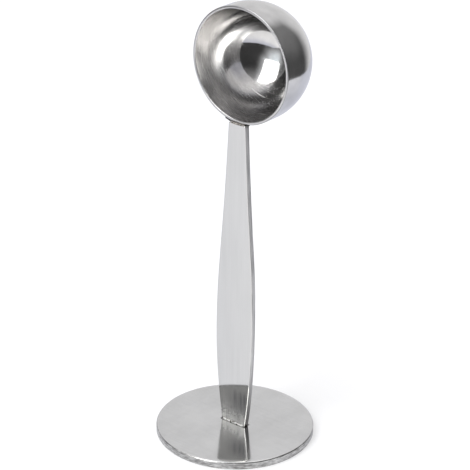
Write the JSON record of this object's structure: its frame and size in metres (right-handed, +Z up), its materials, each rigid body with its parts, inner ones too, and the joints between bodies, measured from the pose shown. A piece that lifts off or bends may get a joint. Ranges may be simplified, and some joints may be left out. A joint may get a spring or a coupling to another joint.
{
  "type": "coffee scoop",
  "caption": "Stainless steel coffee scoop with a deep round bowl on a flat waisted handle strip, welded upright to a round flat disc that tamps the grounds and lets the scoop stand.",
  "frame": {"origin": "centre of the disc's underside, on the surface that the scoop stands on", "axes": "+Z up along the handle from the disc to the bowl, -Y the way the bowl's mouth faces, X across the strip"},
  "size_m": [0.05, 0.05, 0.1406],
  "materials": {
    "satin_steel": "satin",
    "brushed_steel": "satin",
    "polished_steel": "polished",
    "weld_metal": "satin",
    "tinted_weld": "satin"
  },
  "bodies": {
    "root": {"tamper_disc": "satin_steel", "handle_strip": "brushed_steel", "scoop_bowl": "polished_steel", "bowl_weld_front": "tinted_weld", "bowl_weld_back": "tinted_weld", "bowl_tack_left": "tinted_weld", "base_weld_front": "weld_metal", "base_weld_back": "weld_metal", "base_tack_left": "weld_metal", "base_tack_right": "weld_metal"}
  },
  "joints": []
}
